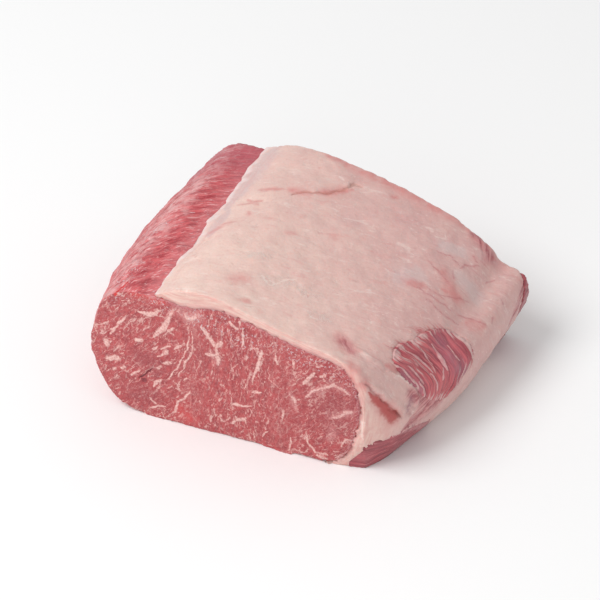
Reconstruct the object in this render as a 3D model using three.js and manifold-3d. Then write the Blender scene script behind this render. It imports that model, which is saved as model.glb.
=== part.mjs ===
// A raw beef striploin: a block of loin sawn across at both ends. The eye of lean lies under a cap of
// fat, which is trimmed to a straight rim on the left, runs over the top and hangs down the right side.
// A flank muscle shows along the right foot, and a window in the fat shows a thin side muscle.
//
// Millimetres, +Z up. +Y runs from the near cut face to the far one, +X from the bare lean to the tail.
// The origin is on the ground under the middle of the whole block.

import * as THREE from "three";
import { mergeVertices } from "three/addons/utils/BufferGeometryUtils.js";
import Module from "manifold-3d";

const wasm = await Module();
wasm.setup();

// Driving dimensions.
const LENGTH = 171; // from cut face to cut face
const GAP = 0.3; // clearance between neighbouring pieces
const TUCK_LENGTH = 120; // how far behind the near cut face the sides reach their full width
const ROUND_LENGTH = 18; // how far behind the near cut face its right edge is rounded
const STATIONS = 25; // sections along the length
const CROWDING = 1.25; // how much closer together they are towards the near face
const STEPS = 3; // ring points for each anchor of an outline

// The near cut face isn't quite flat or square.
const FACE_SKEW = 0.03; // it comes forward towards the left
const FACE_BELLY = 2.5; // it bellies forward at its left foot
const BELLY_X = -62; // middle of the belly
const BELLY_RADIUS = 32;
const FACE_SLANT = 9; // it slants back at its right foot
const SLANT_X = [52, 100]; // where the slant begins, and where it is full
const FACE_FOOT = 42; // height of what bellies and slants

// Anchors of the eye of lean, clockwise from the fat's rim as seen from the near cut face: [x, z] behind
// the near face, [x, z] at the far face, and how far the near face is tucked in along X.
const LEAN_ANCHORS = [
  { name: "under rim", near: [-49.5, 90], far: [-60.5, 90], tuck: 1.5 },
  { name: "fat notch", near: [-28, 89], far: [-40, 92], tuck: 0 },
  { name: "crown", near: [-6, 94], far: [-14, 92], tuck: 0 },
  { name: "high slope", near: [22, 88], far: [18, 87.5], tuck: 0 },
  { name: "low slope", near: [50, 82], far: [50, 79], tuck: 0 },
  { name: "shoulder", near: [73, 77.5], far: [76, 68], tuck: 0 },
  { name: "tail top", near: [86, 63], far: [89, 52], tuck: -3 },
  { name: "tail end", near: [91, 45], far: [97, 35], tuck: -6 },
  { name: "tail low", near: [88, 25], far: [94, 19], tuck: -7 },
  { name: "tail foot", near: [80, 8], far: [86, 6], tuck: -6 },
  { name: "right foot", near: [62, 0], far: [68, 0], tuck: 0 },
  { name: "left foot", near: [-60, 0], far: [-62, 0], tuck: 3 },
  { name: "left heel", near: [-90, 6], far: [-93, 8], tuck: 15 },
  { name: "low side", near: [-110, 22], far: [-110, 23], tuck: 22.5 },
  { name: "left side", near: [-117, 43], far: [-118, 43], tuck: 23.5 },
  { name: "high side", near: [-109, 61], far: [-109, 61], tuck: 20 },
  { name: "low strip", near: [-96, 77], far: [-96.5, 77], tuck: 13 },
  { name: "mid strip", near: [-80, 87], far: [-81.5, 89.5], tuck: 9 },
];
const CAPPED = 10; // the lean's anchors 0 to 10 lie under the cap

// Anchors of the fat cap's outside, from the rim over the top to the right foot. Round is how much
// further the edge of the near face is drawn in.
const CAP_ANCHORS = [
  { name: "rim", near: [-50, 92], far: [-61, 92], tuck: 1.5 },
  { name: "over the notch", near: [-28, 101], far: [-40, 100], tuck: 0 },
  { name: "crown", near: [-7, 101.5], far: [-16, 99.5], tuck: 0 },
  { name: "high slope", near: [20, 94.5], far: [15, 94.5], tuck: 0 },
  { name: "low slope", near: [50, 87], far: [50, 85.5], tuck: 0 },
  { name: "shoulder", near: [76, 80], far: [80, 74], tuck: 0 },
  { name: "tail top", near: [99, 67], far: [98.5, 62], tuck: -8, round: 2 },
  { name: "fold", near: [109, 55], far: [104.5, 54], tuck: -15, round: 6 },
  { name: "high side", near: [116, 44], far: [118.5, 50], tuck: -21, round: 7 },
  { name: "side", near: [122.5, 28], far: [123.5, 36], tuck: -27, round: 8 },
  { name: "low side", near: [119, 11], far: [114, 12], tuck: -25, round: 6 },
  { name: "foot", near: [107, 0], far: [104, 0], tuck: -17, round: 4 },
];

// The flank muscle: a strip along the right foot that runs through the whole block. It shows at the near
// foot, passes under the fat and shows again, taller, beside the far cut face.
// Its blank stands outside the fat where the muscle shows. Slope is how far its inner side leans outwards.
const FLANK_SECTIONS = [
  { y: -1, inner: 76, outer: 104, top: 19, slope: 12 },
  { y: 10, inner: 80, outer: 108, top: 23, slope: 11 },
  { y: 24, inner: 87, outer: 112, top: 23, slope: 9 },
  { y: 38, inner: 92, outer: 116, top: 19, slope: 6 },
  { y: 50, inner: 90, outer: 101, top: 12, slope: 6 },
  { y: 136, inner: 90, outer: 101, top: 12, slope: 6 },
  { y: 150, inner: 98, outer: 130, top: 23, slope: 6 },
  { y: 172, inner: 109, outer: 130, top: 51, slope: 6 },
];
const FLANK_UNDER = 6; // how far its blank reaches below the ground
const FLANK_FOOT = 4; // height at which its inner side begins to slope

// The side muscle: a thin sheet in the fat, which shows in a window on the right side. [y, z] round the
// window, from its near top corner.
const WINDOW = [
  [33, 66],
  [42, 69],
  [56, 66],
  [69, 64],
  [81, 60],
  [89, 54],
  [92, 46],
  [90, 39],
  [80, 35.5],
  [70, 30],
  [61, 29],
  [51, 33],
  [43, 40],
  [39, 48],
  [34, 57],
];
const WINDOW_CORNERS = 42;
const SHEET_THICKNESS = 5;
const BAR = { from: 70, to: 150 }; // along X, the bar that cuts the window
const CORE = [[60, 10], [0, 60]]; // [x, z] inside the lean, which close the section under the sheet

const mix = (a, b, share) => a + (b - a) * share;
const smooth = (from, to, value) => THREE.MathUtils.smoothstep(value, from, to);
const short = (value, length) => THREE.MathUtils.clamp(1 - value / length, 0, 1);

// An anchor's place in the section at y, tucked in most at the near face.
function place(anchor, y) {
  const along = y / LENGTH;
  const tucked = anchor.tuck * short(y, TUCK_LENGTH) ** 2;
  const rounded = (anchor.round ?? 0) * short(y, ROUND_LENGTH) ** 2;
  return new THREE.Vector3(
    mix(anchor.near[0], anchor.far[0], along) + tucked - rounded,
    0,
    mix(anchor.near[1], anchor.far[1], along),
  );
}

function curveAt(anchors, y, closed) {
  return new THREE.CatmullRomCurve3(anchors.map((a) => place(a, y)), closed, "centripetal");
}

// Points of the curve from its parameter 0 to end, moved outwards by grow, and none below the ground.
function trace(curve, end, count, grow, y) {
  return Array.from({ length: count + 1 }, (_, i) => {
    const t = (end * i) / count;
    const point = curve.getPoint(t);
    const along = curve.getTangent(t);
    return new THREE.Vector3(point.x - along.z * grow, y, Math.max(0, point.z + along.x * grow));
  });
}

function leanRing(y) {
  const ring = trace(curveAt(LEAN_ANCHORS, y, true), 1, LEAN_ANCHORS.length * STEPS, 0, y);
  return ring.slice(0, -1);
}

function capRing(y) {
  const outside = trace(curveAt(CAP_ANCHORS, y, false), 1, (CAP_ANCHORS.length - 1) * STEPS, 0, y);
  const lean = curveAt(LEAN_ANCHORS, y, true);
  const inside = trace(lean, CAPPED / LEAN_ANCHORS.length, CAPPED * STEPS, GAP, y);
  return [...outside, ...inside.reverse()];
}

// The section of the flank muscle's blank, moved outwards by grow.
function flankRing(y, grow) {
  const next = FLANK_SECTIONS.findIndex((section) => section.y > y);
  const [from, to] = [FLANK_SECTIONS[next - 1], FLANK_SECTIONS[next]];
  const share = (y - from.y) / (to.y - from.y);
  const inner = mix(from.inner, to.inner, share) - grow;
  const outer = mix(from.outer, to.outer, share) + grow;
  const top = mix(from.top, to.top, share) + grow;
  const slope = mix(from.slope, to.slope, share);
  return [
    [inner, -FLANK_UNDER],
    [inner, FLANK_FOOT],
    [inner + slope, top],
    [outer, top],
    [outer, -FLANK_UNDER],
  ].map(([x, z]) => new THREE.Vector3(x, y, z));
}

// The section of what lies deeper than depth under the fat's outside, on the right side of the block.
function coreRing(y, depth) {
  const outside = trace(curveAt(CAP_ANCHORS, y, false), 1, (CAP_ANCHORS.length - 1) * STEPS, -depth, y);
  const right = outside.slice(3 * STEPS, -STEPS); // from the high slope to the low side
  return [...right, ...CORE.map(([x, z]) => new THREE.Vector3(x, y, z))];
}

// A bar along X with the window's outline, moved outwards by grow.
function windowBar(grow) {
  const curve = new THREE.CatmullRomCurve3(WINDOW.map(([y, z]) => new THREE.Vector3(y, z, 0)), true);
  const corners = Array.from({ length: WINDOW_CORNERS }, (_, i) => {
    const share = i / WINDOW_CORNERS;
    const point = curve.getPoint(share);
    const along = curve.getTangent(share);
    return new THREE.Vector2(point.x - along.y * grow, point.y + along.x * grow);
  });
  const outline = new THREE.Shape(corners);
  const geometry = new THREE.ExtrudeGeometry(outline, { depth: BAR.to - BAR.from, bevelEnabled: false });
  geometry.applyMatrix4(
    new THREE.Matrix4().makeBasis(
      new THREE.Vector3(0, 1, 0),
      new THREE.Vector3(0, 0, 1),
      new THREE.Vector3(1, 0, 0),
    ),
  );
  geometry.translate(BAR.from, 0, 0);
  geometry.deleteAttribute("normal");
  geometry.deleteAttribute("uv");
  return geometry;
}

// Triangles that fill a ring whose vertices start at first. Turn is 1 on the near face, -1 on the far.
function fill(ring, first, turn) {
  const flat = ring.map((p) => new THREE.Vector2(p.x, p.z));
  const triangles = THREE.ShapeUtils.triangulateShape(flat, []);
  const areas = triangles.map((corners) => THREE.ShapeUtils.area(corners.map((i) => flat[i])));
  const area = areas.reduce((sum, value) => sum + value, 0);
  return triangles.flatMap((corners) => {
    const [a, b, c] = corners.map((i) => first + i);
    return area * turn > 0 ? [a, b, c] : [a, c, b];
  });
}

// How far the near cut face lies behind the square one at x, z.
function faceDepth(x, z) {
  const foot = 1 - smooth(0, FACE_FOOT, z);
  const belly = FACE_BELLY * foot * Math.exp(-(((x - BELLY_X) / BELLY_RADIUS) ** 2));
  const slant = FACE_SLANT * foot * smooth(...SLANT_X, x);
  return FACE_SKEW * x - belly + slant;
}

// A closed solid through rings of equal length, its ends filled flat.
function loft(rings) {
  const count = rings[0].length;
  const positions = rings.flat().flatMap((p) => [
    p.x,
    p.y + faceDepth(p.x, p.z) * (1 - p.y / LENGTH),
    p.z,
  ]);
  const index = [];
  for (let r = 0; r < rings.length - 1; r += 1) {
    for (let i = 0; i < count; i += 1) {
      const a = r * count + i;
      const b = r * count + ((i + 1) % count);
      index.push(a, b, a + count, b, b + count, a + count);
    }
  }
  index.push(...fill(rings[0], 0, 1), ...fill(rings[rings.length - 1], count * (rings.length - 1), -1));
  const geometry = new THREE.BufferGeometry();
  geometry.setAttribute("position", new THREE.Float32BufferAttribute(positions, 3));
  geometry.setIndex(index);
  return geometry;
}

// Places along the length, closer together towards the near face.
const stations = (from, to) =>
  Array.from({ length: STATIONS }, (_, i) => mix(from, to, (i / (STATIONS - 1)) ** CROWDING));

function solidFrom(geometry) {
  const merged = mergeVertices(geometry, 1e-4);
  return new wasm.Manifold(
    new wasm.Mesh({
      numProp: 3,
      vertProperties: merged.attributes.position.array,
      triVerts: new Uint32Array(merged.index.array),
    }),
  );
}

function geometryFrom(solid) {
  const mesh = solid.getMesh();
  const geometry = new THREE.BufferGeometry();
  geometry.setAttribute("position", new THREE.Float32BufferAttribute(mesh.vertProperties, 3));
  geometry.setIndex(new THREE.BufferAttribute(mesh.triVerts, 1));
  return geometry;
}

const finishes = {
  lean: new THREE.MeshStandardMaterial({ color: 0xc46a68, roughness: 0.35, metalness: 0 }),
  fat: new THREE.MeshStandardMaterial({ color: 0xe3c4ba, roughness: 0.45, metalness: 0 }),
  flank: new THREE.MeshStandardMaterial({ color: 0x9a4a50, roughness: 0.4, metalness: 0 }),
  side: new THREE.MeshStandardMaterial({ color: 0xa9575c, roughness: 0.4, metalness: 0 }),
};

function piece(name, geometry, material) {
  const mesh = new THREE.Mesh(geometry, material);
  mesh.name = name;
  return mesh;
}

const ys = stations(0, LENGTH);
const lean = loft(ys.map(leanRing));
const wholeCap = solidFrom(loft(ys.map(capRing)));
const flankYs = stations(-GAP, LENGTH + GAP);
const flankBlank = solidFrom(loft(flankYs.map((y) => flankRing(y, 0))));
const flankPocket = solidFrom(loft(flankYs.map((y) => flankRing(y, GAP))));
const underSheet = solidFrom(loft(flankYs.map((y) => coreRing(y, SHEET_THICKNESS))));
const underPocket = solidFrom(loft(flankYs.map((y) => coreRing(y, SHEET_THICKNESS + GAP))));
const sheetPocket = solidFrom(windowBar(GAP)).subtract(underPocket);
const sheet = wholeCap.intersect(solidFrom(windowBar(0)).subtract(underSheet));
const cap = wholeCap.subtract(flankPocket).subtract(sheetPocket);

const meat = new THREE.Group();
meat.add(piece("eye_of_lean", lean, finishes.lean));
meat.add(piece("fat_cap", geometryFrom(cap), finishes.fat));
meat.add(piece("flank_muscle", geometryFrom(wholeCap.intersect(flankBlank)), finishes.flank));
meat.add(piece("side_muscle", geometryFrom(sheet), finishes.side));

const middle = new THREE.Box3().setFromObject(meat).getCenter(new THREE.Vector3());
meat.position.set(-middle.x, -middle.y, 0);

export default meat;
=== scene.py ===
"""A raw beef striploin, finished around its packed model: the marbled eye of lean, the fat cap, the flank
muscle along its foot and the side muscle in the window of the fat.

It is laid out as a Blender add-on and run as a script. Lengths in lists are millimetres in the part's own
frame: +Z up, +Y from the near cut face to the far one, +X from the bare lean to the fat-covered side."""

import math

import bmesh
import bpy
import numpy as np
from bpy.props import FloatProperty, FloatVectorProperty, IntProperty, PointerProperty
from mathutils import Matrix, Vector, noise
from mathutils.bvhtree import BVHTree
from mathutils.kdtree import KDTree


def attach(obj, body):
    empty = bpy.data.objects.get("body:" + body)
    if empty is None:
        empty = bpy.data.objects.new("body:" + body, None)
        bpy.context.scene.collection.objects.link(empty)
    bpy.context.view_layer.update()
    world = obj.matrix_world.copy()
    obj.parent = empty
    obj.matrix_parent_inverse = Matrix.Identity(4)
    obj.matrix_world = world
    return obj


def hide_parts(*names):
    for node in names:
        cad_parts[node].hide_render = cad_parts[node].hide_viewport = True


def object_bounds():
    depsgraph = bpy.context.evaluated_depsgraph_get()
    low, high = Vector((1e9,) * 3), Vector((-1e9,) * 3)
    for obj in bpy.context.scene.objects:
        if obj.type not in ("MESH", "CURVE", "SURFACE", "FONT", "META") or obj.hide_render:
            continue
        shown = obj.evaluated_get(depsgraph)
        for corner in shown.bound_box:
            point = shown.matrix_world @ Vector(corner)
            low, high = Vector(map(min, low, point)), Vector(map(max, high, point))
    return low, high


bl_info = {
    "name": "Raw beef striploin",
    "version": (1, 0, 0),
    "blender": (4, 5, 0),
    "location": "3D View > Sidebar > Striploin",
    "description": "Models and finishes a block of raw beef striploin around its packed solids",
    "category": "Mesh",
}

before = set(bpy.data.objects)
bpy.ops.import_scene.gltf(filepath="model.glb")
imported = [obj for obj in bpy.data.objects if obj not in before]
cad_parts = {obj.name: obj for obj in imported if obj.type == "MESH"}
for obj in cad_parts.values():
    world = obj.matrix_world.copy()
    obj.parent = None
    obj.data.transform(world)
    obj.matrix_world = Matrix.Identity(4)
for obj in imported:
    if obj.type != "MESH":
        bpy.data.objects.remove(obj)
CAD_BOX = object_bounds()
noise.seed_set(1)  # without it, noise_vector would start from the clock

MM = 0.001
FRONT, BACK = CAD_BOX[0].y / MM, CAD_BOX[1].y / MM  # the near and the far cut face
CUT_FACE = 0.4  # a cut face is where the normal's y is more than this
BARE_FROM = -45  # the bare side lies on this side of that x

# Pale fat on the near cut face: how wide a streak is, and the [x, z] points that it runs through.
FACE_FAT = [
    (1.1, [(-29, 80.5), (-28.5, 73), (-28, 66), (-28.5, 59), (-31.5, 52.5), (-35, 46), (-37, 41),
           (-42.5, 32.5)]),
    (0.9, [(-26, 76), (-24.5, 67), (-27, 54.5), (-31, 46.5), (-35.5, 37)]),
    (2.2, [(-31, 84), (-28, 82), (-23, 84)]),
    (3.4, [(-38, 83.5), (-40, 80.5), (-42, 75.5), (-45, 69), (-48, 65.5), (-51, 61)]),
    (2.0, [(-43, 68), (-37, 72)]),
    (2.5, [(-62, 76.5), (-57, 76.5), (-54, 76), (-49.5, 78.5), (-46, 81.5)]),
    (1.6, [(-69, 71.5), (-73.5, 65), (-77.5, 59), (-81.5, 53)]),
    (3.6, [(-84, 47), (-84.5, 45)]),
    (3.4, [(-84, 34.5), (-76.5, 37)]),
    (2.2, [(-60, 56.5), (-63.5, 55)]),
    (1.4, [(-49.5, 54), (-53, 51.5)]),
    (1.6, [(-41, 57.5), (-46, 53)]),
    (1.6, [(-41.5, 53.5), (-49, 47.5)]),
    (1.4, [(-32, 60.5), (-38, 57)]),
    (2.2, [(-40, 45), (-45.5, 43.5)]),
    (1.8, [(-47, 40.5), (-49.5, 38.5)]),
    (2.0, [(-47, 31), (-50, 27.5), (-51.5, 23.5)]),
    (1.2, [(-61, 34), (-67, 27)]),
    (1.6, [(-72, 33), (-74.5, 30)]),
    (1.8, [(-79.5, 27.5), (-78.5, 28)]),
    (3.2, [(-19, 78.5), (-15.5, 75), (-14.5, 72), (-11, 68.5), (-9, 66.5)]),
    (2.5, [(-9, 66.5), (-7, 70.5)]),
    (2.2, [(-9, 65.5), (-9, 60), (-8, 54)]),
    (2.0, [(-15.5, 59), (-11, 59.5)]),
    (1.5, [(-26.5, 28.5), (-31, 22), (-36, 17), (-36.5, 13), (-39.5, 6.5)]),
    (1.3, [(-55.5, 14.5), (-53.5, 13), (-50, 11)]),
    (1.3, [(-56, 6), (-49, 9.5), (-44.5, 11)]),
    (1.5, [(-29, 37.5), (-32, 34.5)]),
    (2.4, [(20, 74), (18, 62), (13.5, 49.5)]),
    (1.5, [(7, 86), (8, 79.5), (6.5, 72)]),
    (2.0, [(-1, 87.5), (3, 84.5)]),
    (1.3, [(29, 74), (30, 66)]),
    (1.3, [(40.5, 72.5), (41, 66.5)]),
    (2.6, [(53.5, 67), (50, 63), (47, 57)]),
    (1.8, [(60.5, 68.5), (57.5, 65)]),
    (1.6, [(48, 48.5), (54, 55), (59.5, 58.5), (66, 63), (71.5, 61.5), (77, 59)]),
    (1.6, [(38.5, 45.5), (41, 43), (42, 41)]),
    (1.6, [(0, 27), (5, 28), (13, 30)]),
    (2.4, [(2, 19.5), (4, 17), (10, 19)]),
    (1.6, [(4, 17), (-0.5, 12)]),
    (1.5, [(33.5, 34), (33.5, 27.5)]),
    (1.3, [(13, 40), (20, 43)]),
    (1.6, [(23, 14), (19.5, 8)]),
    (1.4, [(38.5, 13), (36.5, 2.5)]),
    (1.4, [(48.5, 22), (49.5, 13.5), (53.5, 7.5), (62.5, 7)]),
    (2.2, [(55, 4.5), (61.5, 4.5)]),
    (1.2, [(70.5, 16), (74, 23), (79, 23.5)]),
    (1.8, [(66, 37.5), (71.5, 42.5), (79, 47)]),
]
FACE_DEEP = [  # clefts on the near cut face, sunk in the relief and painted dark: painted shade
    (3.2, [(-59.5, 25.5), (-58.5, 26)]),
    (1.2, [(-63, 25.5), (-58, 31), (-52.5, 36.5)]),
]
FACE_BRIGHT = [  # where the near cut face is a stronger red
    (9, [(-34, 11.5), (-28, 6.5)]),
    (7, [(-68, 89), (-56, 90), (-44, 88)]),
]
FACE_VEIL = [  # where fat shows faintly in the near cut face
    (7, [(-33, 86), (-28, 83), (-22, 85)]),
    (3.4, [(48, 48), (54, 55), (60, 59), (66, 63), (72, 61), (77, 59)]),
    (4, [(66, 28), (63, 20)]),
    (4, [(64, 37), (71, 42), (79, 47)]),
    (5, [(-12, 60), (-9, 56)]),
    (3, [(38, 48), (43, 36)]),
]
FACE_LOBE = [(32, [(67, 46), (72, 51)]), (12, [(-60, 44), (-52, 40)]), (12, [(-66, 14), (-52, 16)])]  # darker
FACE_GLINTS = [  # where wet grains catch the light
    (16, [(-20, 86), (-4, 86), (10, 80)]),
    (9, [(26, 80), (50, 76), (72, 68), (80, 58)]),
    (8, [(-76, 86), (-62, 88)]),
    (5, [(-50, 86), (-40, 84)]),
]
BARE_GLINTS = [(14, [(-84, -80, 84), (-76, -62, 90)]), (8, [(-92, -30, 84), (-84, -10, 90)])]
GASH = (3.0, [(-77, -86, 84), (-76, -81, 86), (-74, -75, 88)])  # a red nick in the bare side's near end
FAR_SHIFT = (24, -7)  # how far the far cut face's streaks lie from the near one's, along x and z

# Marks on the fat: width and [x, y, z] points.
VEIN_IN_CREASE = [(-20, 34, 100), (-13, 41, 99), (-9, 43, 99), (-3, 47, 98), (1, 53, 97), (5, 60, 96)]
CREASE = (1.8, [*VEIN_IN_CREASE, (7, 67, 96), (11, 70, 95)])
FLAP = (16, [(-14, 50, 99), (-6, 58, 98), (0, 66, 97)])
PIT = (2.6, [(6, 63, 96), (8, 69, 96), (12, 70, 95)])
LIP_LINE = [(91, -60, 66), (95, -53, 60), (99, -48, 53), (102, -46, 48), (104, -45, 42), (104, -48, 37),
            (102, -54, 33)]
LIP = (3.0, LIP_LINE)
FOLDS = [
    (2.0, [(112, -24, 32), (108, -36, 33), (105, -46, 29), (102, -55, 26)]),
    (1.6, [(111, -26, 28), (107, -38, 28), (104, -48, 25)]),
]
FOLD_BAND = [
    ((10, 6), [(112, -24, 31), (108, -36, 31), (105, -46, 28), (101, -57, 25)]),
    ((5, 9), [(102, -50, 46), (105, -44, 40), (108, -38, 33)]),
    ((5, 8), [(84, 85, 70), (90, 83, 66.5), (96, 80, 63)]),
    ((5, 3), [(118, 85, 47), (119.5, 77, 43), (119.5, 57.5, 30)]),
    ((6, 4), [(64, -64, 83), (68, -66, 81.5), (72, -68, 80)]),
]
DIMPLE = [((4, 6), [(104, -50, 43), (102, -54, 38)])]
NEAR_RIDGE = (3.4, [(72, -63, 80), (80, -63, 75), (88, -61, 69)])
CUT_GROOVE = (1.3, [(84, -80, 71), (88, -77, 63), (93, -70, 52), (97, -65, 45), (101, -60, 35)])
SOFT_PATCH = (11, [(62, -64, 83), (70, -67, 81)])
CUT_RIDGE = (5.0, [(90, -76, 66), (95, -69, 55), (100, -63, 47), (104, -57, 38)])
WINDOW_SEAM = (1.3, [(106, -42, 36), (104, -52, 31), (101, -58, 26)])
FAT_VEINS = [
    (1.0, [(88, 50, 69), (90, 56, 68), (95, 65, 63)]),
    (0.9, [(89, 68, 68), (95, 65, 63)]),
    (0.9, [(86, 45, 70), (89, 38, 68)]),
    (0.9, [(72, 50, 77), (80, 54, 73), (88, 52, 69)]),
    (1.0, [(100, 20, 58), (106, 26, 53), (116, 31, 46)]),
    (0.9, [(88, 17, 70), (95, 27, 64), (101, 36, 57)]),
    (0.9, [(71, 37, 78), (81, 35, 73), (88, 32, 69)]),
    (0.9, [(114, 57, 50), (117, 55, 46)]),
    (0.9, [(101, 60, 55), (103, 64, 54), (105, 68, 53)]),
    (1.0, [(75, 11, 77), (87, 13, 70), (98, 18, 60)]),
    (0.8, [(79, 18, 75), (93, 18, 66)]),
    (0.8, [(84, 8, 72), (94, 8, 65), (104, 14, 55)]),
    (1.4, [(115, 40, 47), (117, 36, 45)]),
    (0.8, VEIN_IN_CREASE),
    WINDOW_SEAM,
    CUT_GROOVE,
]
FAT_BLUSH = [  # soft pink and red patches
    (9, [(62, -64, 83), (70, -67, 81)]),
    (8, [(-9, -59, 101), (-6, -57, 100)]),
    (3, [(-45, 13, 99), (-33, 20, 101)]),
    (2.6, [(-44, 20, 99), (-32, 14, 101)]),
    (2.4, [(-34, 6, 101), (-33, 4, 101)]),
    (2.6, [(1, -76, 99), (6, -72, 98)]),
    (9, [(84, 84, 71), (92, 82, 65)]),
    (5, [(88, 25, 70), (99, 32, 58)]),
    (6, [(70, 11, 79), (78, 15, 76)]),
    (4, [(31, 75, 90), (33, 76, 90)]),
    (4, [(19, 15, 93), (21, 14, 93)]),
    (3, [(-5, -1, 99), (0, 0, 98)]),
    (7, [(84, 36, 72), (96, 28, 63)]),
    (5, [(-22, 38, 100), (-12, 40, 99)]),
    (6, [(74, -78, 76), (84, -79, 68)]),
    (6, [(106, 20, 53), (115, 30, 46)]),
    (4, [(88, -58, 69), (93, -52, 62)]),
    (9, [(96, 74, 64), (100, 84, 58)]),
    (9, [(-20, 85, 99), (30, 85, 92), (80, 85, 74)]),
    (7, [(-6, 44, 98), (8, 62, 96)]),
    (3, [(-52, -20, 97), (-38, -6, 100)]),
    (3, [(-40, 30, 100), (-26, 36, 100)]),
]
FAT_STAIN = [
    ((1.8, 8), [(86, -79, 64), (91, -74, 53), (94, -70, 46)]),
    ((5, 12), [(89, -75, 56), (94, -70, 47), (98, -66, 39)]),
    (2.6, [(88, -43, 70), (89, -42, 69)]),
]
FAT_CORE = [((1.5, 4), [(95, -68, 46), (97, -65, 42), (100, -61, 36)])]  # the darkest of the stain
FAT_PALE = [  # white flakes and edges
    (1.4, [(1, -46, 98), (5, -49, 97), (10, -52, 96)]),
    (1.2, [(10, -52, 96), (14, -43, 95), (19, -36, 94)]),
    (1.3, [(-43, -81, 98), (-28, -81, 101), (-16, -80, 102)]),
    (1.4, [(-3, 69, 98), (2, 66, 97)]),
    (1.6, [(85, -79, 41), (84, -78, 26)]),
    (0.9, LIP_LINE),
]
FAT_SKIN = [  # grey-blue silverskin
    ((9, 15), [(-52, 10, 96), (-54, 40, 97), (-56, 84, 97)]),
    (8, [(-48, -22, 96), (-50, 8, 97)]),
    (8, [(94, 74, 65), (99, 84, 58)]),
    (13, [(66, 12, 80), (72, 22, 78)]),
    (12, [(92, 44, 67), (102, 46, 58)]),
    (10, [(74, 58, 77), (84, 64, 71)]),
]
FAT_FLAKY = [  # dry, flaky fat
    (9, [(0, -47, 98), (8, -50, 97), (19, -38, 94)]),
    (8, [(26, -42, 92), (34, -38, 90)]),
    (8, [(40, -56, 89), (48, -54, 87)]),
    (6, [(-12, -34, 100), (-4, -30, 99)]),
]
FAT_RELIEF = [  # millimetres up or down, and marks
    (1.3, [FLAP]),
    (-0.6, [CREASE]),
    (-0.7, [PIT]),
    (1.2, [LIP, CUT_RIDGE]),
    (0.9, [NEAR_RIDGE]),
    (-0.9, [*FOLDS, *DIMPLE]),
    (-1.3, [CUT_GROOVE]),
    (-0.7, [SOFT_PATCH]),
]
FAT_MARKS = {  # what the fat's material reads of them
    "vein": FAT_VEINS,
    "blush": FAT_BLUSH,
    "stain": FAT_STAIN,
    "core": FAT_CORE,
    "pale": FAT_PALE,
    "crease": [CREASE, PIT],
    "band": FOLD_BAND,
    "dimple": DIMPLE,
    "skin": FAT_SKIN,
}

FLANK_CORE = (90, 0, -5)  # the flank muscle curves round this x and z
# The top of the flank muscle: y from the near face, and z.
FLANK_TOP = ([0, 11, 25, 39, 50, 136, 150, 171], [19, 23, 23, 19, 12, 12, 23, 51])
# How far the fat's rim strays inwards from the packed one: [y, x].
RIM_WAVE = [(-88, 0), (-45, 0), (-28, 1.5), (-14, 0.5), (-3, -0.9), (14, 1.0), (45, 0), (60, -1.5),
            (73, -0.5), (88, 0)]
RIM_ENDS = (-51.5, -63.8)  # x of the rim at the near and at the far face

# The side muscle's fibres run down the block's side, and bend towards the near face above BEND_HEIGHT.
BEND_HEIGHT = 43
BEND = 0.0148  # per mm, near the near face
STRAIGHT = (-25, -3)  # the bend fades out between these y
SWEEP_HEIGHT = 45  # and they sweep back to the near face below this
SWEEP = 0.055  # per mm

SIDE_CORE = (60, 0, 20)  # the side muscle curves round this x and z
# Strands of fat over the side muscle: width and [y, z] points down the side.
STRANDS = [
    (1.2, [(-50, 64), (-46, 58), (-44, 50)]),
    (1.1, [(-43, 61), (-39, 54), (-38, 46)]),
    (1.3, [(-36, 65), (-33, 60), (-29, 54), (-28, 48)]),
    (0.9, [(-26, 62), (-25, 56), (-24, 51)]),
    (2.6, [(-15, 59), (-16, 54), (-17, 48), (-17, 44)]),
    (1.3, [(-19, 47), (-21, 44), (-23, 41)]),
    (0.8, [(-5, 53), (-6, 48), (-4, 43)]),
    (1.1, [(-30, 49), (-29, 44), (-31, 38)]),
    (0.8, [(-41, 50), (-40, 46), (-41, 42)]),
]
SIDE_PURPLE = [
    (15, [(103, -9, 54), (111, -9, 46), (115, -7, 37)]),
    (9, [(96, -52, 58), (100, -46, 51), (104, -42, 46)]),
]

# The fibres of the bare lean on the left run along the block at the near end, and fan out towards the fat.
FAN = (16, 58)  # degrees from the length, at the near and at the far end
STRIP_CENTRE = (-53, 15)  # x, z: the bare side curves round this
STRIP_RADIUS = 46


def paint(name, description, default):
    """A property for a colour."""
    return FloatVectorProperty(name=name, description=description, subtype="COLOR", default=default)


def length(name, description, default):
    """A property for a length, its default in millimetres."""
    return FloatProperty(name=name, description=description, unit="LENGTH", default=default * MM)


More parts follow.
